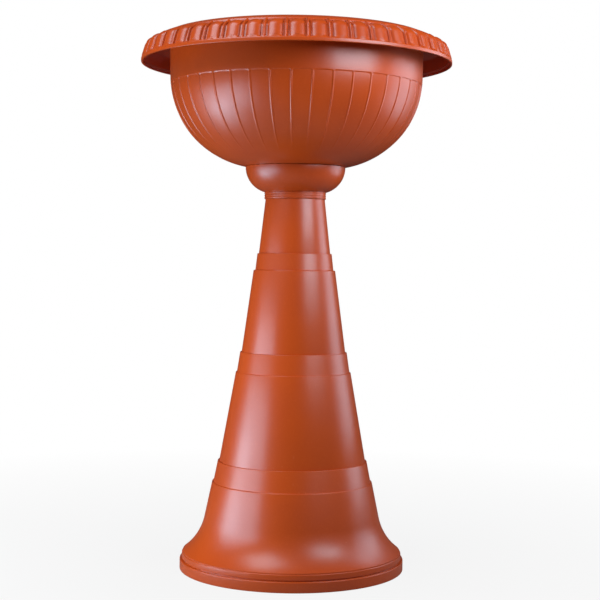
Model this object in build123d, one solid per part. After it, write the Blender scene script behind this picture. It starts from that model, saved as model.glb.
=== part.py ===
from build123d import *

import os
from math import acos, asin, atan2, cos, degrees, hypot, radians, sin, sqrt, tan

# A pedestal planter of moulded plastic. A ribbed bowl is bolted to a neck cup, whose spigot plugs into a
# pedestal of three cone sections on a bell foot, and a screwed plate closes the foot.
# Millimetres, +Z up, origin on the axis at the lowest face. The front is -Y.

# ---- Heights as seen, from the floor up. Their sum is the planter's height.
plate_height = 12.8
foot_height = 110.0
lower_height = 125.0
upper_height = 113.5
top_height = 62.5
neck_height = 36.2
bowl_height = 150.0

# ---- Walls, fits and edges
shell_wall = 2.2
mouth_wall = 1.45  # around a socket, at its mouth
plug_fit = 0.25  # radial, between a spigot and its socket
ledge_width = 3.2  # inward ledge that a spigot stands on
edge_round = 0.6

# ---- Base plate
plate_radius = 128.4
plate_wall = 2.4
plate_bevel = 0.6
seat_inset = 1.0  # the seat stands back from the foot's rim, which leaves a groove
seat_rise = 1.2
seat_width = 17.0
register_rise = 3.0  # ring that centres the foot
register_wall = 2.0
register_gap = 0.4
plate_rib_count = 12
plate_rib_wall = 2.0
plate_rib_lift = 1.0  # ribs end above the floor: the plate stands on its skirt and hub
plate_hub_radius = 14.0
plate_hoop_radius = 66.0

# ---- Screws that hold the plate
screw_count = 4
screw_inset = 7.6  # from the bore of the foot's rim
screw_radius = 1.95
screw_length = 12.5
screw_head_radius = 3.9
screw_head_height = 2.6
screw_drive_radius = 1.6
screw_hole_gap = 0.25
screw_thread_gap = 0.05
screw_tip_gap = 0.9
screw_boss_wall = 2.3
screw_well_gap = 0.9
screw_well_wall = 1.6
screw_well_depth = 6.5

# ---- Bell foot
foot_rim_height = 6.0
foot_rim_step = 1.0  # rim stands out past the skirt
foot_rim_draft = 0.4
skirt_radius = 124.8
skirt_edge_height = 1.4
flare_radius = 65.3
flare_edge_angle = 52.8  # lean of the wall from upright, at the skirt's edge
foot_band_height = 23.8
foot_band_taper = 4.7
foot_band_step = 1.5

# ---- Cone sections: each base radius is also its spigot's
lower_base_radius = 84.1
lower_band_height = 23.0
lower_band_taper = 3.5
lower_band_step = 1.2
upper_base_radius = 59.8
upper_band_height = 19.2
upper_band_taper = 2.2
upper_band_step = 2.0
top_base_radius = 41.2
top_mouth_radius = 34.2

# ---- Neck cup
neck_spigot_length = 22.0
collar_overhang = 1.0
collar_bead_count = 3
collar_bead_radius = 0.9
collar_bead_rise = 0.45
cup_arc_radius = 30.0
cup_radius = 57.6
cup_wall = 2.2
cup_rim_rise = 0.9  # above the bowl's floor, beside its rising side
web_wall = 2.6
neck_boss_radius = 9.0
neck_boss_drop = 3.0
bearing_inset = 4.4  # bearing ring, from the edge of the bowl's flat
bearing_wall = 2.4
neck_rib_count = 6
neck_rib_wall = 2.2
neck_rib_drop = 9.0  # ribs meet the cup's wall this far below the bowl's flat
weep_count = 3
weep_radius = 3.0
weep_circle_radius = 20.0

# ---- Bowl
bowl_wall = 2.6
bowl_floor_radius = 40.4
bowl_side_arc = 104.1
bowl_draft = 0.9
mouth_round = 1.8

# ---- Rim of the bowl, from the mouth outwards and down
crest_width = 6.7
crest_round = 6.0
border_width = 11.7
border_drop = 5.1
channel_step = 2.0
channel_step_width = 1.0
channel_width = 10.2
channel_drop = 6.3
rim_corner_round = 5.8
rim_side_spread = 3.6
rim_side_drop = 11.2
lip_flare = 2.7
lip_flare_drop = 2.6
lip_round = 1.4
lip_height = 3.8
rim_wall = 2.5
rim_root_round = 2.4

# ---- Bowl ornament and drain holes
pad_count = 48
pad_phase = 0.25  # degrees to the right of the front
pad_width = 16.6
pad_crown = 1.35
pad_sink = 0.6
pad_end_gap = 1.0
pad_corner_round = 3.6
rim_rib_width = 2.4
rim_rib_rise = 1.0
bowl_rib_count = 40
bowl_rib_phase = -2.0
bowl_rib_width = 1.5
bowl_rib_rise = 0.6
bowl_rib_sink = 0.5
bowl_rib_foot_angle = 66.0  # below the level of the side's centre
ridge_drop = 55.0  # lower edge of the plain band round the bowl, below the rim's top
bowl_band_rise = 0.7
drain_count = 6
drain_radius = 4.0
drain_circle_radius = 22.0

# ---- Clamp bolt and what is on it
bolt_radius = 4.0
bolt_length = 50.0
bolt_head_width = 13.0
bolt_head_height = 5.3
bolt_hole_gap = 0.3
washer_hole_gap = 0.35
seal_radius = 14.0
seal_thickness = 2.5
head_washer_radius = 12.0
head_washer_thickness = 2.0
neck_washer_radius = 10.0
neck_washer_thickness = 1.6
nut_radius = 6.8
nut_tip_radius = 5.6
nut_height = 8.0
nut_thread_gap = 0.05
wing_span = 34.0
wing_wall = 2.6
wing_root_drop = 2.0
wing_tip_drop = 7.0
wing_tip_width = 7.0
wing_round = 2.4

# ---- Levels and radii that follow
foot_base = plate_height
lower_base = foot_base + foot_height
upper_base = lower_base + lower_height
top_base = upper_base + upper_height
neck_base = top_base + top_height
bowl_base = neck_base + neck_height
rim_top = bowl_base + bowl_height
deck = plate_height - seat_rise
deck_under = deck - plate_wall
foot_bore = skirt_radius - shell_wall
foot_rim_radius = skirt_radius + foot_rim_step + foot_rim_draft
screw_circle_radius = foot_bore - screw_inset
neck_socket_radius = top_mouth_radius - shell_wall
collar_radius = top_mouth_radius + collar_overhang
cup_centre = (cup_radius - cup_arc_radius, bowl_base + cup_rim_rise)
collar_top = cup_centre[1] - sqrt(cup_arc_radius**2 - (collar_radius - cup_centre[0]) ** 2)
neck_boss_end = collar_top - neck_boss_drop
floor_top = bowl_base + bowl_wall
side_centre = (bowl_floor_radius, bowl_base + bowl_side_arc)
bowl_radius = bowl_floor_radius + bowl_side_arc
bowl_band_arc = bowl_side_arc + bowl_band_rise
ridge_level = rim_top - ridge_drop
head_washer_base = floor_top + seal_thickness
bolt_seat = head_washer_base + head_washer_thickness
nut_seat = neck_boss_end - neck_washer_thickness
front = -90.0


def turned(outline):
    """Solid of revolution about Z from a closed outline of (radius, height)."""
    return revolve(Plane.XZ * make_face(outline), Axis.Z)


def rod(radius, low, high):
    """Round bar on the axis."""
    return Pos(0, 0, low) * Cylinder(radius, high - low, align=(Align.CENTER, Align.CENTER, Align.MIN))


def ring(inner, outer, low, high):
    """Plain ring on the axis."""
    return rod(outer, low, high) - rod(inner, low, high)


def around(shape, count, radius=0.0, start=0.0):
    """Copies of a shape, evenly spaced about Z."""
    return [Rot(0, 0, start + 360 * index / count) * Pos(radius, 0, 0) * shape for index in range(count)]


def rounded(*corners, closed=False):
    """Line through (radius, height, rounding) corners. The ends of an open line have no rounding."""
    points = [corner[:2] for corner in corners]
    roundings = [corner[2] for corner in corners]
    if closed:
        return FilletPolyline(*points, radius=roundings, close=True)
    return FilletPolyline(*points, radius=roundings[1:-1])


def arc_point(centre, reach, angle):
    """Point at an angle above the outward direction."""
    return (centre[0] + reach * cos(radians(angle)), centre[1] + reach * sin(radians(angle)))


def arc(centre, reach, start, end):
    """Arc about a centre, between two angles above the outward direction."""
    middle = (start + end) / 2
    return ThreePointArc(*[arc_point(centre, reach, angle) for angle in (start, middle, end)])


def inset(points, distance):
    """Corners of the line that runs beside a line, a distance to the right of its way."""
    normals = []
    for (radius, height), (next_radius, next_height) in zip(points, points[1:]):
        length = hypot(next_radius - radius, next_height - height)
        normals.append(((next_height - height) / length, (radius - next_radius) / length))
    corners = []
    for (radius, height), before, after in zip(points, normals[:1] + normals, normals + normals[-1:]):
        scale = distance / (1 + before[0] * after[0] + before[1] * after[1])
        corners.append((radius + scale * (before[0] + after[0]), height + scale * (before[1] + after[1])))
    return corners


# ---- Pedestal
def band(top, height, taper, step, socket_radius):
    """Outside of the band at a section's mouth, from the cone's shoulder up."""
    shoulder = top - height
    mouth_radius = socket_radius + mouth_wall
    return [
        (mouth_radius + taper + step, shoulder, step / 2),
        (mouth_radius + taper, shoulder, step / 3),
        (mouth_radius, top, edge_round),
    ]


def socket(top, depth, radius):
    """Inside of a socket, from its mouth down to the underside of the ledge at its bottom."""
    return [
        (radius, top, 0),
        (radius, top - depth, 0),
        (radius - ledge_width, top - depth, 0),
        (radius - ledge_width, top - depth - shell_wall, 0),
    ]


def cone_section(base, height, base_radius, spigot_length, band_height, band_taper, band_step, socket_radius):
    """Cone shell with a spigot below it, and at its top the socket of the next section."""
    top = base + height
    outside = band(top, band_height, band_taper, band_step, socket_radius)
    inside = socket(top, band_height, socket_radius)
    shoulder_radius, shoulder, _ = outside[0]
    under_ledge = inside[-1][1]
    lean = (base_radius - shoulder_radius) / (shoulder - base)
    inner_radius = base_radius - shell_wall
    return turned(rounded(
        (inner_radius, base - spigot_length, 0),
        (base_radius, base - spigot_length, edge_round),
        (base_radius, base, 0),
        *outside,
        *inside,
        (inner_radius - lean * (under_ledge - base), under_ledge, 0),
        (inner_radius, base, 0),
        closed=True,
    ))


def make_lower_section():
    return cone_section(
        lower_base, lower_height, lower_base_radius, foot_band_height,
        lower_band_height, lower_band_taper, lower_band_step, upper_base_radius + plug_fit,
    )


def make_upper_section():
    return cone_section(
        upper_base, upper_height, upper_base_radius, lower_band_height,
        upper_band_height, upper_band_taper, upper_band_step, top_base_radius + plug_fit,
    )


def make_top_section():
    """Slim cone, whose mouth takes the neck's spigot."""
    inner_radius = top_base_radius - shell_wall
    spigot_end = top_base - upper_band_height
    return turned(rounded(
        (inner_radius, spigot_end, 0),
        (top_base_radius, spigot_end, edge_round),
        (top_base_radius, top_base, 0),
        (top_mouth_radius, neck_base, edge_round),
        (neck_socket_radius, neck_base, 0),
        (neck_socket_radius, neck_base - neck_spigot_length, 0),
        (inner_radius, top_base, 0),
        closed=True,
    ))


def make_foot():
    """Bell foot: a rim, a hollow flare that runs into a cone, and a band round the lower section's socket."""
    rim_level = foot_base + foot_rim_height
    flare_base = rim_level + skirt_edge_height
    centre = (
        skirt_radius + flare_radius * cos(radians(flare_edge_angle)),
        flare_base + flare_radius * sin(radians(flare_edge_angle)),
    )
    socket_radius = lower_base_radius + plug_fit
    outside = band(lower_base, foot_band_height, foot_band_taper, foot_band_step, socket_radius)
    inside = socket(lower_base, foot_band_height, socket_radius)

    # The cone runs from the band's shoulder down, tangent to the flare.
    across = centre[0] - outside[0][0]
    down = outside[0][1] - centre[1]
    cone_angle = degrees(atan2(across, down) - asin(flare_radius / hypot(across, down)))
    tip = arc_point(centre, flare_radius, 180 + cone_angle)
    flare = arc(centre, flare_radius, 180 + flare_edge_angle, 180 + cone_angle)
    bell = turned(
        Polyline(
            (0, lower_base), (0, foot_base), (foot_rim_radius, foot_base),
            (foot_rim_radius - foot_rim_draft, rim_level), (skirt_radius, rim_level),
            (skirt_radius, flare_base),
        )
        + flare
        + rounded((*tip, 0), *outside, (0, lower_base, 0))
    )

    # The hollow follows one wall inside, down to the bore of the rim.
    reach = flare_radius + shell_wall
    bore_angle = degrees(acos((centre[0] - foot_bore) / reach))
    inner_tip = arc_point(centre, reach, 180 + cone_angle)
    under_ledge = inside[-1][1]
    inner_top = (inner_tip[0] - tan(radians(cone_angle)) * (under_ledge - inner_tip[1]), under_ledge)
    socket_line = [corner[:2] for corner in reversed(inside)]
    hollow = turned(
        Polyline(
            (0, lower_base), (0, foot_base), (foot_bore, foot_base),
            arc_point(centre, reach, 180 + bore_angle),
        )
        + arc(centre, reach, 180 + bore_angle, 180 + cone_angle)
        + Polyline(inner_tip, inner_top, *socket_line, (0, lower_base))
    )

    pilot_radius = screw_radius + screw_thread_gap
    boss = rod(pilot_radius + screw_boss_wall, foot_base, lower_base - foot_band_height)
    pilot = rod(pilot_radius, foot_base, deck_under + screw_length + screw_tip_gap)
    bosses = [copy & bell for copy in around(boss, screw_count, screw_circle_radius)]
    return bell - hollow + bosses - around(pilot, screw_count, screw_circle_radius)


# ---- Base plate and its screws
def make_base_plate():
    """Upturned tray: a deck with a raised seat for the foot, a ring that centres it, and ribs under it."""
    seat_outer = foot_rim_radius - seat_inset
    seat_inner = seat_outer - seat_width
    register_outer = foot_bore - register_gap
    register_inner = register_outer - register_wall
    skirt_inner = plate_radius - plate_wall
    tray = turned(rounded(
        (0, deck_under, 0),
        (skirt_inner, deck_under, 0),
        (skirt_inner, 0, 0),
        (plate_radius, 0, plate_bevel),
        (plate_radius, deck, plate_bevel),
        (seat_outer, deck, 0),
        (seat_outer, plate_height, 0),
        (register_outer, plate_height, 0),
        (register_outer, plate_height + register_rise, 0),
        (register_inner, plate_height + register_rise, 0),
        (register_inner, plate_height, 0),
        (seat_inner, plate_height, 0),
        (seat_inner, deck, 0),
        (0, deck, 0),
        closed=True,
    ))
    hub = ring(plate_hub_radius - plate_wall, plate_hub_radius, 0, deck_under)
    hoop = ring(plate_hoop_radius - plate_rib_wall, plate_hoop_radius, plate_rib_lift, deck_under)
    spoke_start = plate_hub_radius - plate_wall / 2
    spoke = Pos(0, 0, plate_rib_lift) * Box(
        skirt_inner + plate_wall / 2 - spoke_start, plate_rib_wall, deck_under - plate_rib_lift,
        align=(Align.MIN, Align.CENTER, Align.MIN),
    )
    spokes = around(spoke, plate_rib_count, spoke_start, 180 / plate_rib_count)
    well_radius = screw_head_radius + screw_well_gap
    well = ring(well_radius, well_radius + screw_well_wall, deck_under - screw_well_depth, deck_under)
    wells = around(well, screw_count, screw_circle_radius)
    hole = rod(screw_radius + screw_hole_gap, deck_under, plate_height)
    holes = around(hole, screw_count, screw_circle_radius)
    return tray + [hub, hoop, *spokes, *wells] - holes


def make_base_screws():
    """Pan-head screws, driven up through the plate into the foot's bosses."""
    head_base = deck_under - screw_head_height
    head = rod(screw_head_radius, head_base, deck_under)
    head = fillet(head.edges().group_by(Axis.Z)[0], screw_head_height / 3)
    drive = Pos(0, 0, head_base) * extrude(RegularPolygon(screw_drive_radius, 6), screw_head_height / 2)
    screw = head + rod(screw_radius, deck_under, deck_under + screw_length) - drive
    return Compound(children=around(screw, screw_count, screw_circle_radius))


# ---- Neck
def make_neck_cup():
    """Cup on a beaded collar and spigot. A boss, a bearing ring and ribs inside it carry the bowl."""
    spigot_radius = neck_socket_radius - plug_fit
    spigot_end = neck_base - neck_spigot_length
    collar_angle = degrees(acos((collar_radius - cup_centre[0]) / cup_arc_radius))
    body = turned(
        Polyline(
            (0, cup_centre[1]), (0, spigot_end), (spigot_radius, spigot_end), (spigot_radius, neck_base),
            (collar_radius, neck_base), (collar_radius, collar_top),
        )
        + arc(cup_centre, cup_arc_radius, -collar_angle, 0)
        + Line((cup_radius, cup_centre[1]), (0, cup_centre[1]))
    )
    bead_pitch = (collar_top - neck_base) / collar_bead_count
    bead = Pos(collar_radius + collar_bead_rise - collar_bead_radius, neck_base + bead_pitch / 2) * Circle(
        collar_bead_radius
    )
    beads = [
        Pos(0, 0, index * bead_pitch) * revolve(Plane.XZ * bead, Axis.Z) for index in range(collar_bead_count)
    ]

    # The cup's hollow leaves standing what carries the bowl.
    web_top = collar_top + web_wall
    inner_reach = cup_arc_radius - cup_wall
    web_angle = degrees(asin((cup_centre[1] - web_top) / inner_reach))
    hollow = turned(
        Polyline((0, cup_centre[1]), (0, web_top), arc_point(cup_centre, inner_reach, -web_angle))
        + arc(cup_centre, inner_reach, -web_angle, 0)
        + Line((cup_radius - cup_wall, cup_centre[1]), (0, cup_centre[1]))
    )
    bearing_radius = bowl_floor_radius - bearing_inset
    bearing = ring(bearing_radius - bearing_wall, bearing_radius, web_top, bowl_base)
    rib_side = Polyline(
        (0, web_top), (cup_radius, web_top), (cup_radius, bowl_base - neck_rib_drop),
        (bearing_radius, bowl_base), (0, bowl_base), close=True,
    )
    rib = extrude(Plane.XZ * make_face(rib_side), neck_rib_wall / 2, both=True)
    hollow -= [rod(neck_boss_radius, web_top, bowl_base), bearing, *around(rib, neck_rib_count)]

    bore = rod(spigot_radius - shell_wall, spigot_end, collar_top)
    boss = rod(neck_boss_radius, neck_boss_end, collar_top)
    hole = rod(bolt_radius + bolt_hole_gap, neck_boss_end, bowl_base)
    weep = rod(weep_radius, collar_top, web_top)
    weeps = around(weep, weep_count, weep_circle_radius, 180 / neck_rib_count)
    return body + beads - hollow - bore + boss - hole - weeps


# ---- Bowl
def rim_line():
    """Corners of the rim's outside, from the mouth to the lip's lower edge."""
    mouth = (bowl_radius + bowl_draft - bowl_wall, rim_top)
    crest = (mouth[0] + crest_width, rim_top)
    border = (crest[0] + border_width, crest[1] - border_drop)
    channel = (border[0] + channel_step_width, border[1] - channel_step)
    corner = (channel[0] + channel_width, channel[1] - channel_drop)
    side = (corner[0] + rim_side_spread, corner[1] - rim_side_drop)
    lip = (side[0] + lip_flare, side[1] - lip_flare_drop)
    edge = (lip[0], lip[1] - lip_height)
    return mouth, crest, border, channel, corner, side, lip, edge


def side_angle(reach):
    """Angle below the level of the side's centre at which an arc about it meets the band's lower edge."""
    return degrees(asin((side_centre[1] - ridge_level) / reach))


def make_bowl_shell():
    """Bowl with a rising side, a plain band, and a hollow rim that turns out and down to a flared lip."""
    mouth, crest, border, channel, corner, side, lip, edge = rim_line()
    under = inset([mouth, crest, border, corner, side, lip, edge], rim_wall)
    return turned(
        Polyline((0, floor_top), (0, bowl_base), (bowl_floor_radius, bowl_base))
        + arc(side_centre, bowl_side_arc, -90, -side_angle(bowl_side_arc))
        + Line(
            arc_point(side_centre, bowl_side_arc, -side_angle(bowl_side_arc)),
            arc_point(side_centre, bowl_band_arc, -side_angle(bowl_band_arc)),
        )
        + arc(side_centre, bowl_band_arc, -side_angle(bowl_band_arc), 0)
        + rounded(
            (bowl_radius + bowl_band_rise, side_centre[1], 0),
            (bowl_radius + bowl_draft + bowl_band_rise, rim_top - rim_wall, rim_root_round),
            *[(*point, 0) for point in under[1:]],
            (*edge, 0),
            (*lip, lip_round),
            (*side, lip_round),
            (*corner, rim_corner_round),
            (*channel, 0),
            (*border, 0),
            (*crest, crest_round),
            (*mouth, mouth_round),
            (bowl_radius - bowl_wall, side_centre[1], 0),
        )
        + arc(side_centre, bowl_side_arc - bowl_wall, 0, -90)
        + Line((bowl_floor_radius, floor_top), (0, floor_top))
    )


def along_channel(section):
    """Sweeps a section, drawn on the rim's channel, from the channel's upper end to its lower end."""
    _, _, _, channel, corner, side, _, _ = rim_line()
    start, bend, end = [Vector(radius, 0, height) for radius, height in (channel, corner, side)]
    start += (bend - start).normalized() * pad_end_gap
    end += (bend - end).normalized() * pad_end_gap
    path = FilletPolyline(start, bend, end, radius=rim_corner_round)
    return sweep(Plane(origin=path @ 0, x_dir=(0, 1, 0), z_dir=path % 0) * section, path)


def make_pad():
    """Broad crowned pad with round corners."""
    half = pad_width / 2
    crown = ThreePointArc((-half, 0), (0, pad_crown), (half, 0))
    sides = Polyline((half, 0), (half, -pad_sink), (-half, -pad_sink), (-half, 0))
    pad = along_channel(make_face(crown + sides))
    return fillet(pad.edges().filter_by(GeomType.LINE).group_by(SortBy.LENGTH)[0], pad_corner_round)


def make_rim_rib():
    """Narrow half-round rib that stands between two pads."""
    half = rim_rib_width / 2
    crown = ThreePointArc((-half, -pad_sink), (0, rim_rib_rise), (half, -pad_sink))
    return along_channel(make_face(crown + Line((half, -pad_sink), (-half, -pad_sink))))


def make_bowl_rib():
    """Upright rib from inside the band, which fades out down the bowl's side."""
    ridge_angle = side_angle(bowl_side_arc) - degrees(bowl_rib_sink / bowl_side_arc)
    sunk_reach = bowl_side_arc - bowl_rib_sink
    crest_reach = bowl_side_arc + bowl_rib_rise
    top = arc_point(side_centre, crest_reach, -ridge_angle)
    middle = arc_point(side_centre, crest_reach, -(ridge_angle + bowl_rib_foot_angle) / 2)
    foot = arc_point(side_centre, sunk_reach, -bowl_rib_foot_angle)
    outline = (
        arc(side_centre, sunk_reach, -ridge_angle, -bowl_rib_foot_angle)
        + ThreePointArc(foot, middle, top)
        + Line(top, arc_point(side_centre, sunk_reach, -ridge_angle))
    )
    return extrude(Plane.XZ * make_face(outline), bowl_rib_width / 2, both=True)


def make_bowl():
    pads = around(make_pad(), pad_count, 0, front + pad_phase)
    rim_ribs = around(make_rim_rib(), pad_count, 0, front + pad_phase + 180 / pad_count)
    bowl_ribs = around(make_bowl_rib(), bowl_rib_count, 0, front + bowl_rib_phase)
    hole = rod(bolt_radius + bolt_hole_gap, bowl_base, floor_top)
    drains = around(rod(drain_radius, bowl_base, floor_top), drain_count, drain_circle_radius)
    return make_bowl_shell() + [*bowl_ribs, *pads, *rim_ribs] - [hole, *drains]


# ---- Clamp bolt and what is on it
def make_washer(radius, base, thickness):
    return ring(bolt_radius + washer_hole_gap, radius, base, base + thickness)


def make_clamp_bolt():
    head = extrude(RegularPolygon(bolt_head_width / 2, 6, major_radius=False), bolt_head_height)
    return Pos(0, 0, bolt_seat) * head + rod(bolt_radius, bolt_seat - bolt_length, bolt_seat)


def make_wing_nut():
    """Hand nut, upside down: its wings reach down past the hub."""
    hub = Cone(nut_tip_radius, nut_radius, nut_height, align=(Align.CENTER, Align.CENTER, Align.MAX))
    wing_side = rounded(
        (0, -wing_root_drop, 0),
        (wing_span / 2, -nut_height, wing_round),
        (wing_span / 2, -nut_height - wing_tip_drop, wing_round),
        (wing_span / 2 - wing_tip_width, -nut_height - wing_tip_drop, wing_round),
        (nut_tip_radius, -nut_height, 0),
        (0, -nut_height, 0),
        closed=True,
    )
    wing = extrude(Plane.XZ * make_face(wing_side), wing_wall / 2, both=True)
    nut = hub + around(wing, 2) - rod(bolt_radius + nut_thread_gap, -nut_height, 0)
    return Pos(0, 0, nut_seat) * nut


os.makedirs("parts", exist_ok=True)
nodes = {
    "base_plate": make_base_plate(),
    "base_screws": make_base_screws(),
    "bell_foot": make_foot(),
    "pedestal_lower_section": make_lower_section(),
    "pedestal_upper_section": make_upper_section(),
    "pedestal_top_section": make_top_section(),
    "neck_cup": make_neck_cup(),
    "planter_bowl": make_bowl(),
    "sealing_washer": make_washer(seal_radius, floor_top, seal_thickness),
    "head_washer": make_washer(head_washer_radius, head_washer_base, head_washer_thickness),
    "neck_washer": make_washer(neck_washer_radius, nut_seat, neck_washer_thickness),
    "clamp_bolt": make_clamp_bolt(),
    "wing_nut": make_wing_nut(),
}
for name, shape in nodes.items():
    export_step(shape, f"parts/{name}.step")
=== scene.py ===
from math import acos, asin, atan2, ceil, cos, degrees, hypot, pi, radians, sin, sqrt, tan, tau

import bmesh
import bpy
from bpy.props import FloatProperty, FloatVectorProperty, IntProperty, PointerProperty
from bpy.types import Operator, Panel, PropertyGroup
from mathutils import Matrix, Vector


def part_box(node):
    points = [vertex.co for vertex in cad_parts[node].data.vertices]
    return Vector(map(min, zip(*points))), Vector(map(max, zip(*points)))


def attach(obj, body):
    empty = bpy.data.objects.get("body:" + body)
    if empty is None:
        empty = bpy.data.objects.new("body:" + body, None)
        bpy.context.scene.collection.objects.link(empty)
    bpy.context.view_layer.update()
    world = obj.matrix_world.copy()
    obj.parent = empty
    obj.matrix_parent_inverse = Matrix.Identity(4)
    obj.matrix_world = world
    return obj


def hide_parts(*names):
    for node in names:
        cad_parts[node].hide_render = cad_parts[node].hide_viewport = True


bl_info = {
    "name": "Pedestal planter",
    "version": (1, 0, 0),
    "blender": (4, 5, 0),
    "location": "3D View > Sidebar > Planter",
    "description": "Builds a moulded pedestal planter with a ribbed bowl round its packed frame",
    "category": "Object",
}

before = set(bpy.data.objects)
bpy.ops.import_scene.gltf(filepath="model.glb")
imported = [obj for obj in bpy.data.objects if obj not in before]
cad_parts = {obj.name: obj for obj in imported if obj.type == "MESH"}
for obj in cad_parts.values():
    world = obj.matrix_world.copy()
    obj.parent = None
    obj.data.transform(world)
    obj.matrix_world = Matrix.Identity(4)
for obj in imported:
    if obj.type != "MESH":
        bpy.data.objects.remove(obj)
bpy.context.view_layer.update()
mm = 0.001
weld = 0.002 * mm

# Levels of the joints between the pieces, from the frame.
foot_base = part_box("bell_foot")[0].z
lower_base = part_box("bell_foot")[1].z
upper_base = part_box("pedestal_lower_section")[1].z
top_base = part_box("pedestal_upper_section")[1].z
neck_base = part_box("pedestal_top_section")[1].z
bowl_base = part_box("planter_bowl")[0].z
rim_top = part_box("planter_bowl")[1].z
front = radians(-90)


# ---- Settings
def length(name, description, millimetres):
    return FloatProperty(
        name=name, description=description, default=millimetres * mm, min=0.0, unit="LENGTH", precision=4
    )


def share(name, description, default):
    return FloatProperty(name=name, description=description, default=default, min=0.0, max=1.0, subtype="FACTOR")


def colour(name, description, default):
    return FloatVectorProperty(
        name=name, description=description, default=default, min=0.0, max=1.0, size=3, subtype="COLOR"
    )


def power(name, description, watts):
    return FloatProperty(name=name, description=description, default=watts, min=0.0, unit="POWER")


class PedestalSizes(PropertyGroup):
    """Sizes of the foot and of the cone sections."""

    wall: length("Wall", "Thickness of the moulded wall", 2.2)
    mouth_wall: length("Mouth wall", "Thickness round a socket, at its mouth", 1.45)
    fit: length("Fit", "Gap all round between a spigot and its socket", 0.25)
    ledge: length("Ledge", "Width of the ledge that a spigot stands on", 3.2)
    edge_round: length("Edge rounding", "Rounding of the outer edges", 0.6)
    steps: IntProperty(name="Steps", description="Faces round a turned piece", default=240, min=48, max=480)


class NeckSizes(PropertyGroup):
    """Sizes of the neck cup and its collar."""

    collar_radius: length("Collar radius", "Radius between the collar's beads", 35.2)
    bead_radius: length("Bead radius", "Radius of a bead's section", 0.9)
    bead_rise: length("Bead rise", "How far a bead stands out of the collar", 0.45)
    cup_radius: length("Cup radius", "Radius of the cup at its rim", 57.6)
    cup_round: length("Cup rounding", "Radius of the cup's round side", 30.0)
    wall: length("Wall", "Thickness of the cup's wall", 2.2)


class BowlSizes(PropertyGroup):
    """Sizes of the bowl's shell and of the panels on its side."""

    floor_radius: length("Floor radius", "Radius of the flat floor", 40.4)
    side_round: length("Side rounding", "Radius of the rising side", 104.1)
    wall: length("Wall", "Thickness of the bowl's wall", 2.6)
    ribs: IntProperty(name="Ribs", description="Number of upright ribs", default=40, min=3)
    rib_width: length("Rib width", "Width of an upright rib's crest", 0.5)
    band_rise: length("Band rise", "How far the plain band stands out of the panels below it", 0.65)
    panel_edge: length("Panel edge", "Width of the slope at a panel's edge", 1.1)
    panel_round: length("Panel corner", "Rounding of a panel's upper corners", 2.4)
    ridge_drop: length("Ridge drop", "Depth of the panels' upper edge below the rim", 55.0)
    drain_radius: length("Drain radius", "Radius of a drain hole", 4.0)


class RimSizes(PropertyGroup):
    """Sizes of the rim's pads and ribs."""

    wall: length("Wall", "Thickness of the hollow rim", 2.5)
    pads: IntProperty(name="Pads", description="Number of pads round the rim", default=48, min=3)
    pad_width: length("Pad width", "Width of a pad", 15.6)
    groove_depth: length("Groove depth", "How deep the channel lies beside the pads", 1.3)
    pad_crown: length("Pad crown", "How far a pad's middle bulges over its edge", 2.4)
    pad_step: length("Pad step", "Height of a pad's edge over the groove", 0.9)
    pad_edge: length("Pad edge", "Width of the slope at a pad's edge", 1.1)
    pad_round: length("Pad corner", "Rounding of a pad's upper corners", 5.0)
    shoulder: length("Shoulder", "Length over which a pad's upper end rises", 6.0)
    end_gap: length("End gap", "Bare channel above a pad", 0.8)
    lip_blend: length("Lip blend", "Length over which the pads and ribs run out into the lip", 3.2)
    rib_width: length("Rib width", "Width of the rib between two pads", 2.8)
    rib_rise: length("Rib rise", "Height of the rib between two pads", 1.1)


class Finishes(PropertyGroup):
    """Colours and surface of the plastic, rubber and steel."""

    plastic: colour("Plastic", "Main colour of the moulded plastic", (0.50, 0.066, 0.0050))
    plastic_deep: colour("Deep plastic", "Darker drift in the plastic's colour", (0.41, 0.049, 0.0038))
    plastic_pale: colour("Pale plastic", "Fine lighter flecks in the plastic", (0.56, 0.088, 0.012))
    scuff: colour("Scuff", "Colour of fine scuffs", (0.60, 0.20, 0.11))
    sheen: colour("Sheen", "Tint of the plastic's gloss", (0.62, 0.85, 1.0))
    gloss_roughness: share("Roughness", "Roughness of the plastic", 0.33)
    rubber: colour("Rubber", "Colour of the sealing washer", (0.025, 0.025, 0.028))
    zinc: colour("Zinc", "Colour of the plated steel", (0.62, 0.62, 0.64))
    screw: colour("Screw", "Colour of the screws", (0.5, 0.5, 0.5))


class Studio(PropertyGroup):
    """Floor, lamps and camera."""

    floor: colour("Floor", "Colour of the floor", (0.28, 0.28, 0.28))
    cool: colour("Cool", "Tint of the left and right softboxes", (0.8, 0.9, 1.0))
    left_power: power("Left", "Power of the left softbox", 3.8)
    low_power: power("Low", "Power of the softbox on the floor, to the left", 2.4)
    right_power: power("Right", "Power of the right softbox", 3.8)
    front_power: power("Front", "Power of the softbox to the right of the camera", 6.4)
    top_power: power("Top", "Power of the upper softbox", 6.5)
    ambient: share("Ambient", "Light from all round", 0.05)
    lens: FloatProperty(name="Lens", description="Focal length of the camera", default=80.51, min=1.0, unit="CAMERA")


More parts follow.
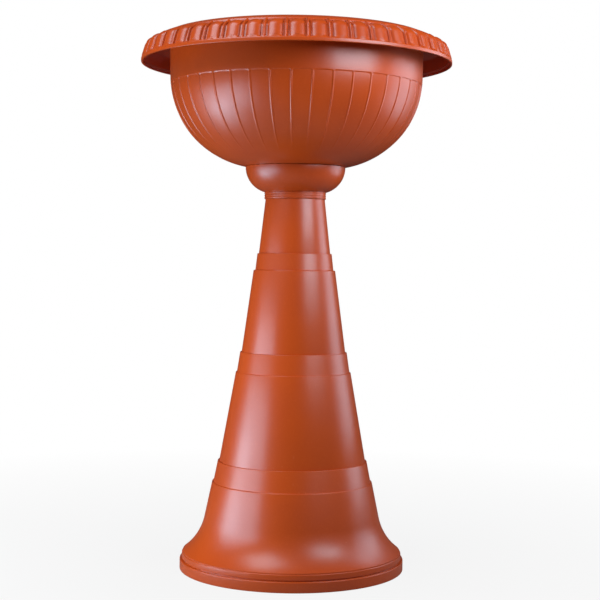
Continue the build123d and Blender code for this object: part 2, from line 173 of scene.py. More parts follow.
# ---- Shaping
class Outline:
    """Outline of a turned piece, as (radius, height) points in the plane through the axis."""

    def __init__(self, *start):
        self.mesh = bmesh.new()
        self.along = self.mesh.verts.layers.float.new("along")
        self.first = self.tip = self.mesh.verts.new((start[0], 0.0, start[1]))
        self.corners = []

    def line(self, *corners):
        """Straight runs through (radius, height) or (radius, height, rounding) corners."""
        for radius, height, *rounding in corners:
            corner = self.mesh.verts.new((radius, 0.0, height))
            self.mesh.edges.new((self.tip, corner))
            self.tip = corner
            if rounding:
                self.corners.append((corner, rounding[0]))
        return self

    def arc(self, centre, turn, steps):
        """Arc of some degrees about a centre, anticlockwise where they are above zero."""
        swept = bmesh.ops.spin(
            self.mesh, geom=[self.tip], cent=(centre[0], 0.0, centre[1]), axis=(0, -1, 0),
            angle=radians(turn), steps=steps,
        )
        self.tip = next(part for part in swept["geom_last"] if isinstance(part, bmesh.types.BMVert))
        return self

    def close(self):
        self.mesh.edges.new((self.tip, self.first))
        return self

    def round_corners(self):
        """Rounds the corners that were given a rounding."""
        cuts = []
        for corner, rounding in self.corners:
            ways = [edge.other_vert(corner).co - corner.co for edge in corner.link_edges]
            turn = pi - ways[0].angle(ways[1])
            cuts.append((corner, rounding * tan(turn / 2), ceil(turn / radians(14))))
        for corner, reach, segments in cuts:
            bmesh.ops.bevel(
                self.mesh, geom=[corner], offset=reach, offset_type="OFFSET", segments=segments, profile=0.5,
                affect="VERTICES", material=-1,
            )
        self.corners = []
        return self

    def divide(self, longest):
        """Cuts long runs into shorter ones."""
        start, end = self.first.co.copy(), self.tip.co.copy()
        for edge in self.mesh.edges[:]:
            cuts = ceil(edge.calc_length() / longest - 0.01) - 1
            if cuts > 0:
                bmesh.ops.subdivide_edges(self.mesh, edges=[edge], cuts=cuts)
        self.first = min(self.mesh.verts, key=lambda point: (point.co - start).length)
        self.tip = min(self.mesh.verts, key=lambda point: (point.co - end).length)
        return self

    def measure(self):
        """Keeps with each point its distance from the outline's upper end."""
        points = sorted(self.mesh.verts, key=lambda point: -point.co.z)
        reach = 0.0
        for before, point in zip(points, points[1:]):
            reach += (point.co - before.co).length
            point[self.along] = reach
        return reach

    def sector(self, count, steps):
        """Mesh of the outline turned about Z by one of a count of equal sectors."""
        self.round_corners()
        bmesh.ops.spin(
            self.mesh, geom=self.mesh.verts[:] + self.mesh.edges[:], cent=(0, 0, 0), axis=(0, 0, 1),
            angle=tau / count, steps=steps,
        )
        bmesh.ops.remove_doubles(self.mesh, verts=self.mesh.verts, dist=weld)
        bmesh.ops.recalc_face_normals(self.mesh, faces=self.mesh.faces)
        return self.mesh

    def turned(self, steps, count=12):
        """Closed mesh of the outline turned about Z."""
        return close_round(self.sector(count, steps // count), count)


def on_arc(centre, reach, angle):
    """Point at an angle in degrees above the outward direction."""
    return centre[0] + reach * cos(radians(angle)), centre[1] + reach * sin(radians(angle))


def beside(points, distance):
    """Corners of the line that runs beside a line, a distance to the right of its way."""
    normals = []
    for (radius, height), (next_radius, next_height) in zip(points, points[1:]):
        run = hypot(next_radius - radius, next_height - height)
        normals.append(((next_height - height) / run, (radius - next_radius) / run))
    corners = []
    for (radius, height), before, after in zip(points, normals[:1] + normals, normals + normals[-1:]):
        scale = distance / (1 + before[0] * after[0] + before[1] * after[1])
        corners.append((radius + scale * (before[0] + after[0]), height + scale * (before[1] + after[1])))
    return corners


def ease(share_of_way):
    """Smooth rise from 0 to 1."""
    way = min(max(share_of_way, 0.0), 1.0)
    return way * way * (3 - 2 * way)


def space_columns(mesh, count, start, stops):
    """Turns the columns of a sector about Z, so that they stand close together at the sides of its ribs."""
    half = len(stops) - 1
    step = tau / (count * 2 * half)
    for point in mesh.verts:
        reach = hypot(point.co.x, point.co.y)
        if reach < weld:
            continue
        column = round(atan2(point.co.y, point.co.x) / step)
        share_of_pitch = stops[column] / 2 if column <= half else 1 - stops[2 * half - column] / 2
        angle = start + tau * share_of_pitch / count
        point.co.x, point.co.y = reach * cos(angle), reach * sin(angle)


def inside_panel(across, down, half_width, half_height, rounding):
    """Depth of a point inside a panel with round corners, below zero outside it."""
    over = abs(across) - half_width + rounding
    up = abs(down) - half_height + rounding
    return rounding - hypot(max(over, 0.0), max(up, 0.0)) - min(max(over, up), 0.0)


def copies_round(mesh, parts, count):
    """Copies parts of a mesh evenly about Z."""
    bmesh.ops.spin(
        mesh, geom=parts, cent=(0, 0, 0), axis=(0, 0, 1), angle=tau * (count - 1) / count, steps=count - 1,
        use_duplicate=True,
    )


def close_round(mesh, count):
    """Copies a sector evenly about Z and welds the copies to one closed mesh."""
    copies_round(mesh, mesh.verts[:] + mesh.edges[:] + mesh.faces[:], count)
    bmesh.ops.remove_doubles(mesh, verts=mesh.verts, dist=weld)
    bmesh.ops.recalc_face_normals(mesh, faces=mesh.faces)
    return mesh


def join(mesh, other):
    """Moves another bmesh's faces into this one."""
    data = bpy.data.meshes.new("joined")
    other.to_mesh(data)
    other.free()
    mesh.from_mesh(data)
    bpy.data.meshes.remove(data)


def shade(mesh, crease=30.0):
    """Smooth faces with sharp edges where the surface turns by more than the crease."""
    for face in mesh.faces:
        face.smooth = True
    for edge in mesh.edges:
        edge.smooth = len(edge.link_faces) == 2 and edge.calc_face_angle() < radians(crease)


def add_piece(mesh, name, body, nodes, finish, crease=30.0):
    """Makes the bmesh an object that rides on a body and stands for its CAD nodes."""
    shade(mesh, crease)
    data = bpy.data.meshes.new(name)
    mesh.to_mesh(data)
    mesh.free()
    data.materials.append(finish)
    piece = bpy.data.objects.new(name, data)
    bpy.context.scene.collection.objects.link(piece)
    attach(piece, body)
    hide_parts(*nodes)
    return piece


def drill(piece, cutter):
    """Cuts the closed shapes of a bmesh out of a piece."""
    data = bpy.data.meshes.new("drill")
    cutter.to_mesh(data)
    cutter.free()
    tool = bpy.data.objects.new("drill", data)
    bpy.context.scene.collection.objects.link(tool)
    cut = piece.modifiers.new("holes", "BOOLEAN")
    cut.operation = "DIFFERENCE"
    cut.solver = "EXACT"
    cut.object = tool
    bpy.context.view_layer.update()
    made = bpy.data.meshes.new_from_object(piece.evaluated_get(bpy.context.evaluated_depsgraph_get()))
    piece.modifiers.clear()
    before = piece.data
    piece.data = made
    made.name = piece.name
    bpy.data.meshes.remove(before)
    bpy.data.objects.remove(tool)
    bpy.data.meshes.remove(data)


# ---- Finishes
def group(name, inputs, outputs):
    """Empty node group with named inputs, given as (name, socket type, value), and outputs."""
    tree = bpy.data.node_groups.new(name, "ShaderNodeTree")
    for label, kind, value in inputs:
        socket = tree.interface.new_socket(name=label, in_out="INPUT", socket_type=kind)
        if value is not None:
            socket.default_value = value
    for label, kind in outputs:
        tree.interface.new_socket(name=label, in_out="OUTPUT", socket_type=kind)
    return tree, tree.nodes.new("NodeGroupInput"), tree.nodes.new("NodeGroupOutput")


def node(tree, kind, values=(), links=(), **settings):
    """Node with its settings, socket values and incoming links."""
    made = tree.nodes.new(kind)
    for key, value in settings.items():
        setattr(made, key, value)
    for key, value in dict(values).items():
        made.inputs[key].default_value = value
    for key, source in dict(links).items():
        tree.links.new(source, made.inputs[key])
    return made


def tone_drift():
    """Slow drift and fine flecks in a moulded colour, with the roughness that goes with them."""
    found = bpy.data.node_groups.get("tone drift")
    if found:
        return found
    tree, entry, leave = group(
        "tone drift",
        [
            ("Vector", "NodeSocketVector", None), ("Colour", "NodeSocketColor", None),
            ("Deep", "NodeSocketColor", None), ("Pale", "NodeSocketColor", None),
            ("Roughness", "NodeSocketFloat", 0.35),
        ],
        [("Colour", "NodeSocketColor"), ("Roughness", "NodeSocketFloat")],
    )
    vector = entry.outputs["Vector"]
    slow = node(tree, "ShaderNodeTexNoise", {"Scale": 11.0, "Detail": 3.0}, {"Vector": vector})
    fine = node(tree, "ShaderNodeTexNoise", {"Scale": 420.0, "Detail": 3.0, "Roughness": 0.6}, {"Vector": vector})
    drift = node(tree, "ShaderNodeMapRange", {1: 0.4, 2: 0.66, 3: 0.0, 4: 0.55}, {0: slow.outputs["Fac"]})
    flecks = node(tree, "ShaderNodeMapRange", {1: 0.52, 2: 0.72, 3: 0.0, 4: 0.30}, {0: fine.outputs["Fac"]})
    deepened = node(
        tree, "ShaderNodeMix", {}, {
            0: drift.outputs[0], 6: entry.outputs["Colour"], 7: entry.outputs["Deep"],
        }, data_type="RGBA",
    )
    flecked = node(
        tree, "ShaderNodeMix", {}, {0: flecks.outputs[0], 6: deepened.outputs[2], 7: entry.outputs["Pale"]},
        data_type="RGBA",
    )
    spread = node(tree, "ShaderNodeMapRange", {1: 0.3, 2: 0.7, 3: -0.04, 4: 0.05}, {0: slow.outputs["Fac"]})
    rough = node(
        tree, "ShaderNodeMath", {}, {0: entry.outputs["Roughness"], 1: spread.outputs[0]}, operation="ADD"
    )
    tree.links.new(flecked.outputs[2], leave.inputs["Colour"])
    tree.links.new(rough.outputs[0], leave.inputs["Roughness"])
    return tree


def scuff_marks():
    """Sparse short scratches and small scuffs, as a mask."""
    found = bpy.data.node_groups.get("scuff marks")
    if found:
        return found
    tree, entry, leave = group(
        "scuff marks",
        [("Vector", "NodeSocketVector", None), ("Amount", "NodeSocketFloat", 1.0)],
        [("Mask", "NodeSocketFloat")],
    )
    vector = entry.outputs["Vector"]
    stretched = node(
        tree, "ShaderNodeMapping", {"Rotation": (0.35, 0.2, 0.5), "Scale": (520.0, 520.0, 26.0)},
        {"Vector": vector},
    )
    hair = node(tree, "ShaderNodeTexNoise", {"Scale": 1.0, "Detail": 2.0}, {"Vector": stretched.outputs[0]})
    thin = node(tree, "ShaderNodeMapRange", {1: 0.70, 2: 0.78}, {0: hair.outputs["Fac"]})
    patch = node(tree, "ShaderNodeTexNoise", {"Scale": 16.0, "Detail": 2.0}, {"Vector": vector})
    where = node(tree, "ShaderNodeMapRange", {1: 0.56, 2: 0.7}, {0: patch.outputs["Fac"]})
    specks = node(tree, "ShaderNodeTexNoise", {"Scale": 190.0, "Detail": 2.0}, {"Vector": vector})
    spots = node(tree, "ShaderNodeMapRange", {1: 0.74, 2: 0.8}, {0: specks.outputs["Fac"]})
    either = node(tree, "ShaderNodeMath", {}, {0: thin.outputs[0], 1: spots.outputs[0]}, operation="MAXIMUM")
    placed = node(tree, "ShaderNodeMath", {}, {0: either.outputs[0], 1: where.outputs[0]}, operation="MULTIPLY")
    amount = node(
        tree, "ShaderNodeMath", {}, {0: placed.outputs[0], 1: entry.outputs["Amount"]}, operation="MULTIPLY"
    )
    tree.links.new(amount.outputs[0], leave.inputs["Mask"])
    return tree


def mould_skin():
    """Faint waviness and fine grain of a moulded skin, as a height."""
    found = bpy.data.node_groups.get("mould skin")
    if found:
        return found
    tree, entry, leave = group(
        "mould skin",
        [("Vector", "NodeSocketVector", None), ("Grain", "NodeSocketFloat", 0.12)],
        [("Height", "NodeSocketFloat")],
    )
    vector = entry.outputs["Vector"]
    wave = node(tree, "ShaderNodeTexNoise", {"Scale": 34.0, "Detail": 1.0}, {"Vector": vector})
    grain = node(tree, "ShaderNodeTexNoise", {"Scale": 1500.0, "Detail": 2.0}, {"Vector": vector})
    fine = node(
        tree, "ShaderNodeMath", {}, {0: grain.outputs["Fac"], 1: entry.outputs["Grain"]}, operation="MULTIPLY"
    )
    both = node(tree, "ShaderNodeMath", {}, {0: wave.outputs["Fac"], 1: fine.outputs[0]}, operation="ADD")
    tree.links.new(both.outputs[0], leave.inputs["Height"])
    return tree


def group_node(tree, inner, values=(), links=()):
    made = tree.nodes.new("ShaderNodeGroup")
    made.node_tree = inner
    for key, value in dict(values).items():
        made.inputs[key].default_value = value
    for key, source in dict(links).items():
        tree.links.new(source, made.inputs[key])
    return made


def blank_material(name):
    material = bpy.data.materials.new(name)
    material.use_nodes = True
    tree = material.node_tree
    return material, tree, tree.nodes["Principled BSDF"], tree.nodes.new("ShaderNodeTexCoord").outputs["Object"]


def moulded_plastic():
    found = bpy.data.materials.get("terracotta plastic")
    if found:
        return found
    finish = bpy.context.scene.planter_finishes
    material, tree, surface, vector = blank_material("terracotta plastic")
    tone = group_node(tree, tone_drift(), {
        "Colour": (*finish.plastic, 1.0), "Deep": (*finish.plastic_deep, 1.0),
        "Pale": (*finish.plastic_pale, 1.0), "Roughness": finish.gloss_roughness,
    }, {"Vector": vector})
    marks = group_node(tree, scuff_marks(), {"Amount": 0.5}, {"Vector": vector})
    skin = group_node(tree, mould_skin(), {"Grain": 0.05}, {"Vector": vector})
    scuffed = node(
        tree, "ShaderNodeMix", {7: (*finish.scuff, 1.0)}, {0: marks.outputs["Mask"], 6: tone.outputs["Colour"]},
        data_type="RGBA",
    )
    duller = node(
        tree, "ShaderNodeMath", {1: 0.25}, {0: marks.outputs["Mask"], 2: tone.outputs["Roughness"]},
        operation="MULTIPLY_ADD",
    )
    bump = node(tree, "ShaderNodeBump", {"Strength": 0.35, "Distance": 0.4 * mm}, {"Height": skin.outputs["Height"]})
    tree.links.new(scuffed.outputs[2], surface.inputs["Base Color"])
    tree.links.new(duller.outputs[0], surface.inputs["Roughness"])
    tree.links.new(bump.outputs[0], surface.inputs["Normal"])
    surface.inputs["IOR"].default_value = 1.5
    surface.inputs["Specular IOR Level"].default_value = 0.62
    surface.inputs["Specular Tint"].default_value = (*finish.sheen, 1.0)
    return material


def seal_rubber():
    finish = bpy.context.scene.planter_finishes
    material, tree, surface, vector = blank_material("seal rubber")
    tone = group_node(tree, tone_drift(), {
        "Colour": (*finish.rubber, 1.0), "Deep": (0.012, 0.012, 0.013, 1.0), "Pale": (0.07, 0.07, 0.075, 1.0),
        "Roughness": 0.62,
    }, {"Vector": vector})
    skin = group_node(tree, mould_skin(), {"Grain": 0.4}, {"Vector": vector})
    bump = node(tree, "ShaderNodeBump", {"Strength": 0.5, "Distance": 0.2 * mm}, {"Height": skin.outputs["Height"]})
    tree.links.new(tone.outputs["Colour"], surface.inputs["Base Color"])
    tree.links.new(tone.outputs["Roughness"], surface.inputs["Roughness"])
    tree.links.new(bump.outputs[0], surface.inputs["Normal"])
    return material


def plated_steel(name, base, roughness):
    found = bpy.data.materials.get(name)
    if found:
        return found
    material, tree, surface, vector = blank_material(name)
    shaded = tuple(0.72 * channel for channel in base)
    tone = group_node(tree, tone_drift(), {
        "Colour": (*base, 1.0), "Deep": (*shaded, 1.0), "Pale": (0.78, 0.78, 0.76, 1.0), "Roughness": roughness,
    }, {"Vector": vector})
    skin = group_node(tree, mould_skin(), {"Grain": 0.25}, {"Vector": vector})
    bump = node(tree, "ShaderNodeBump", {"Strength": 0.3, "Distance": 0.1 * mm}, {"Height": skin.outputs["Height"]})
    tree.links.new(tone.outputs["Colour"], surface.inputs["Base Color"])
    tree.links.new(tone.outputs["Roughness"], surface.inputs["Roughness"])
    tree.links.new(bump.outputs[0], surface.inputs["Normal"])
    surface.inputs["Metallic"].default_value = 1.0
    return material


# ---- Pedestal
def band(sizes, top, height, taper, step, socket_radius):
    """Outside of the band at a section's mouth, from the cone's shoulder up."""
    shoulder = top - height
    mouth_radius = socket_radius + sizes.mouth_wall
    return [
        (mouth_radius + taper + step, shoulder, step / 2),
        (mouth_radius + taper, shoulder, step / 3),
        (mouth_radius, top, sizes.edge_round),
    ]


def socket(sizes, top, depth, radius):
    """Inside of a socket, from its mouth down to the underside of its ledge."""
    return [
        (radius, top), (radius, top - depth), (radius - sizes.ledge, top - depth),
        (radius - sizes.ledge, top - depth - sizes.wall),
    ]


def cone_section(base, top, base_radius, spigot, outside, inside, sizes):
    """Cone shell with a spigot below it and a banded socket at its top."""
    shoulder_radius, shoulder, _ = outside[0]
    under_ledge = inside[-1][1]
    lean = (base_radius - shoulder_radius) / (shoulder - base)
    inner = base_radius - sizes.wall
    outline = Outline(inner, base - spigot)
    outline.line((base_radius, base - spigot, sizes.edge_round), (base_radius, base), *outside, *inside)
    outline.line((inner - lean * (under_ledge - base), under_ledge), (inner, base))
    return outline.close().turned(sizes.steps)


class PLANTER_OT_cone_sections(Operator):
    """Builds the three cone sections of the pedestal"""

    bl_idname = "planter.cone_sections"
    bl_label = "Cone sections"

    def execute(self, context):
        sizes = context.scene.planter_pedestal
        plastic = moulded_plastic()
        foot_band, lower_band, upper_band = 23.8 * mm, 23.0 * mm, 19.2 * mm
        lower_radius, upper_radius, top_radius, mouth_radius = 84.1 * mm, 59.8 * mm, 41.2 * mm, 34.2 * mm
        lower = cone_section(
            lower_base, upper_base, lower_radius, foot_band,
            band(sizes, upper_base, lower_band, 3.5 * mm, 1.2 * mm, upper_radius + sizes.fit),
            socket(sizes, upper_base, lower_band, upper_radius + sizes.fit), sizes,
        )
        upper = cone_section(
            upper_base, top_base, upper_radius, lower_band,
            band(sizes, top_base, upper_band, 2.2 * mm, 2.0 * mm, top_radius + sizes.fit),
            socket(sizes, top_base, upper_band, top_radius + sizes.fit), sizes,
        )
        top = Outline(top_radius - sizes.wall, top_base - upper_band)
        top.line(
            (top_radius, top_base - upper_band, sizes.edge_round), (top_radius, top_base),
            (mouth_radius, neck_base, sizes.edge_round), (mouth_radius - sizes.wall, neck_base),
            (mouth_radius - sizes.wall, neck_base - 22 * mm), (top_radius - sizes.wall, top_base),
        )
        for mesh, name, body in (
            (lower, "lower_section", "lower_section"), (upper, "upper_section", "upper_section"),
            (top.close().turned(sizes.steps), "top_section", "top_section"),
        ):
            add_piece(mesh, f"{name}_shell", body, [f"pedestal_{name}"], plastic)
        return {"FINISHED"}


class PLANTER_OT_bell_foot(Operator):
    """Builds the bell foot with its rim, flare, band and screw bosses"""

    bl_idname = "planter.bell_foot"
    bl_label = "Bell foot"

    def execute(self, context):
        sizes = context.scene.planter_pedestal
        rim_radius, rim_draft, skirt_radius = 126.2 * mm, 0.4 * mm, 124.8 * mm
        bore = skirt_radius - sizes.wall
        rim_level = foot_base + 6 * mm
        flare_base = rim_level + 1.4 * mm
        flare, edge_angle = 65.3 * mm, 52.8
        centre = (
            skirt_radius + flare * cos(radians(edge_angle)), flare_base + flare * sin(radians(edge_angle))
        )
        band_height = 23.8 * mm
        socket_radius = 84.1 * mm + sizes.fit
        outside = band(sizes, lower_base, band_height, 4.7 * mm, 1.5 * mm, socket_radius)
        inside = socket(sizes, lower_base, band_height, socket_radius)
        across, down = centre[0] - outside[0][0], outside[0][1] - centre[1]
        cone_angle = degrees(atan2(across, down) - asin(flare / hypot(across, down)))
        reach = flare + sizes.wall
        bore_angle = degrees(acos((centre[0] - bore) / reach))
        inner_tip = on_arc(centre, reach, 180 + cone_angle)
        under_ledge = inside[-1][1]
        inner_top = inner_tip[0] - tan(radians(cone_angle)) * (under_ledge - inner_tip[1])
        outline = Outline(bore, foot_base)
        outline.line(
            (rim_radius, foot_base, 0.5 * mm), (rim_radius - rim_draft, rim_level, 0.8 * mm),
            (skirt_radius, rim_level, 0.3 * mm), (skirt_radius, flare_base),
        )
        outline.arc(centre, cone_angle - edge_angle, 40)
        outline.line(*outside, *inside, (inner_top, under_ledge), inner_tip)
        outline.arc(centre, bore_angle - cone_angle, 24)
        mesh = outline.close().turned(sizes.steps)
        screw_circle = bore - 7.6 * mm
        boss = Outline(2.0 * mm, foot_base).line(
            (4.3 * mm, foot_base, 0.3 * mm), (4.3 * mm, foot_base + 26 * mm), (2.0 * mm, foot_base + 26 * mm)
        ).close().turned(32)
        bmesh.ops.translate(boss, verts=boss.verts, vec=(screw_circle, 0, 0))
        for point in boss.verts:
            if point.co.z > foot_base + 20 * mm:
                across = centre[0] - hypot(point.co.x, point.co.y)
                point.co.z = centre[1] - sqrt((reach - sizes.wall / 2) ** 2 - across**2)
        copies_round(boss, boss.verts[:] + boss.edges[:] + boss.faces[:], 4)
        join(mesh, boss)
        add_piece(mesh, "bell_foot_shell", "base", ["bell_foot"], moulded_plastic())
        return {"FINISHED"}


class PLANTER_OT_base_plate(Operator):
    """Builds the plate that closes the foot, with the ribs and screw wells under it"""

    bl_idname = "planter.base_plate"
    bl_label = "Base plate"

    def execute(self, context):
        sizes = context.scene.planter_pedestal
        radius, wall = 128.4 * mm, 2.4 * mm
        deck = foot_base - 1.2 * mm
        under = deck - wall
        seat_outer, seat_inner, ring_outer, ring_inner = 125.2 * mm, 108.2 * mm, 122.2 * mm, 120.2 * mm
        ring_top = foot_base + 3 * mm
        tray = Outline(0.0, under)
        tray.line(
            (radius - wall, under, 0.8 * mm), (radius - wall, 0.0, 0.4 * mm), (radius, 0.0, 0.6 * mm),
            (radius, deck, 0.9 * mm), (seat_outer, deck, 0.3 * mm), (seat_outer, foot_base, 0.3 * mm),
            (ring_outer, foot_base), (ring_outer, ring_top, 0.4 * mm), (ring_inner, ring_top, 0.4 * mm),
            (ring_inner, foot_base), (seat_inner, foot_base, 0.3 * mm), (seat_inner, deck, 0.3 * mm), (0.0, deck),
        )
        mesh = tray.turned(sizes.steps)
        hub, spoke_wall, lift = 14 * mm, 2 * mm, 1 * mm
        for outer, thickness, low in ((hub, wall, 0.0), (66 * mm, spoke_wall, lift)):
            hoop = Outline(outer - thickness, under + 0.5 * mm)
            hoop.line(
                (outer - thickness, low, 0.4 * mm), (outer, low, 0.4 * mm), (outer, under + 0.5 * mm)
            )
            join(mesh, hoop.close().turned(96))
        spokes = bmesh.new()
        start = hub - wall / 2
        end = radius - wall / 2
        bmesh.ops.create_cube(spokes, size=1.0)
        bmesh.ops.scale(spokes, verts=spokes.verts, vec=(end - start, spoke_wall, under + 0.5 * mm - lift))
        bmesh.ops.translate(spokes, verts=spokes.verts, vec=((start + end) / 2, 0, (under + 0.5 * mm + lift) / 2))
        low_edges = [edge for edge in spokes.edges if all(vert.co.z < 2 * lift for vert in edge.verts)]
        bmesh.ops.bevel(
            spokes, geom=low_edges, offset=0.4 * mm, offset_type="OFFSET", segments=2, profile=0.5,
            affect="EDGES", material=-1,
        )
        bmesh.ops.rotate(spokes, verts=spokes.verts, cent=(0, 0, 0), matrix=Matrix.Rotation(radians(15), 3, "Z"))
        copies_round(spokes, spokes.verts[:] + spokes.edges[:] + spokes.faces[:], 12)
        join(mesh, spokes)
        well = Outline(4.8 * mm, under + 0.5 * mm).line(
            (4.8 * mm, under - 6.5 * mm, 0.4 * mm), (6.4 * mm, under - 6.5 * mm, 0.4 * mm),
            (6.4 * mm, under + 0.5 * mm)
        ).close().turned(48)
        bmesh.ops.translate(well, verts=well.verts, vec=(115 * mm, 0, 0))
        copies_round(well, well.verts[:] + well.edges[:] + well.faces[:], 4)
        join(mesh, well)
        add_piece(mesh, "base_plate_tray", "base", ["base_plate"], moulded_plastic())
        return {"FINISHED"}


# ---- Neck
class PLANTER_OT_neck_cup(Operator):
    """Builds the neck cup with its beaded collar, spigot, boss and ribs"""

    bl_idname = "planter.neck_cup"
    bl_label = "Neck cup"

    def execute(self, context):
        sizes = context.scene.planter_neck
        steps = context.scene.planter_pedestal.steps
        collar, beads = sizes.collar_radius, 3
        spigot, spigot_bore, spigot_end = 31.75 * mm, 29.55 * mm, neck_base - 22 * mm
        centre = (sizes.cup_radius - sizes.cup_round, bowl_base + 0.9 * mm)
        collar_top = centre[1] - sqrt(sizes.cup_round**2 - (collar - centre[0]) ** 2)
        boss, boss_end, hole = 9 * mm, collar_top - 3 * mm, 4.3 * mm
        web_top = collar_top + 2.6 * mm
        outline = Outline(hole, boss_end)
        outline.line(
            (boss, boss_end, 0.5 * mm), (boss, collar_top), (spigot_bore, collar_top), (spigot_bore, spigot_end),
            (spigot, spigot_end, 0.6 * mm), (spigot, neck_base), (collar, neck_base, 0.3 * mm),
        )
        pitch = (collar_top - neck_base) / beads
        opening = degrees(acos((sizes.bead_radius - sizes.bead_rise) / sizes.bead_radius))
        for index in range(beads):
            middle = (collar + sizes.bead_rise - sizes.bead_radius, neck_base + (index + 0.5) * pitch)
            outline.line(on_arc(middle, sizes.bead_radius, -opening))
            outline.arc(middle, 2 * opening, 10)
        outline.line((collar, collar_top))
        start = degrees(acos((collar - centre[0]) / sizes.cup_round))
        outline.arc(centre, start, 44)
        inner = sizes.cup_round - sizes.wall
        web_angle = degrees(asin((centre[1] - web_top) / inner))
        outline.line((sizes.cup_radius - sizes.wall, centre[1]))
        outline.arc(centre, -web_angle, 20)
        outline.line((boss, web_top), (boss, bowl_base, 0.3 * mm), (hole, bowl_base))
        mesh = outline.close().turned(steps)
        bearing = Outline(33.6 * mm, web_top - 0.5 * mm).line(
            (36 * mm, web_top - 0.5 * mm), (36 * mm, bowl_base, 0.3 * mm), (33.6 * mm, bowl_base, 0.3 * mm)
        ).close().turned(96)
        join(mesh, bearing)
        rib = bmesh.new()
        half = 1.1 * mm
        side = [
            rib.verts.new((reach, -half, height)) for reach, height in (
                (8.5 * mm, web_top - 0.5 * mm), (44 * mm, web_top - 0.5 * mm), (54.5 * mm, bowl_base - 8.4 * mm),
                (36 * mm, bowl_base - 0.1 * mm), (8.5 * mm, bowl_base - 0.1 * mm),
            )
        ]
        pushed = bmesh.ops.extrude_face_region(rib, geom=[rib.faces.new(side)])
        bmesh.ops.translate(
            rib, verts=[part for part in pushed["geom"] if isinstance(part, bmesh.types.BMVert)],
            vec=(0, 2 * half, 0),
        )
        bmesh.ops.recalc_face_normals(rib, faces=rib.faces)
        copies_round(rib, rib.verts[:] + rib.edges[:] + rib.faces[:], 6)
        join(mesh, rib)
        piece = add_piece(mesh, "neck_cup_shell", "neck", ["neck_cup"], moulded_plastic())
        weeps = Outline(0.0, collar_top - 1 * mm).line(
            (3 * mm, collar_top - 1 * mm), (3 * mm, web_top + 1 * mm), (0.0, web_top + 1 * mm)
        ).turned(32)
        bmesh.ops.translate(weeps, verts=weeps.verts, vec=(20 * mm, 0, 0))
        bmesh.ops.rotate(weeps, verts=weeps.verts, cent=(0, 0, 0), matrix=Matrix.Rotation(radians(30), 3, "Z"))
        copies_round(weeps, weeps.verts[:] + weeps.edges[:] + weeps.faces[:], 3)
        drill(piece, weeps)
        return {"FINISHED"}


# ---- Bowl
bowl_join = rim_top - 12 * mm  # level at which the rim's piece stands on the bowl's
mouth_round = 1.8 * mm


def wall_radii(sizes, level):
    """Inner and outer radius of the bowl's wall at a level above the side's round."""
    side_top = bowl_base + sizes.side_round
    radius = sizes.floor_radius + sizes.side_round
    lean = 0.9 * mm * (level - side_top) / (rim_top - side_top)
    return radius - sizes.wall + lean, radius + sizes.band_rise + lean


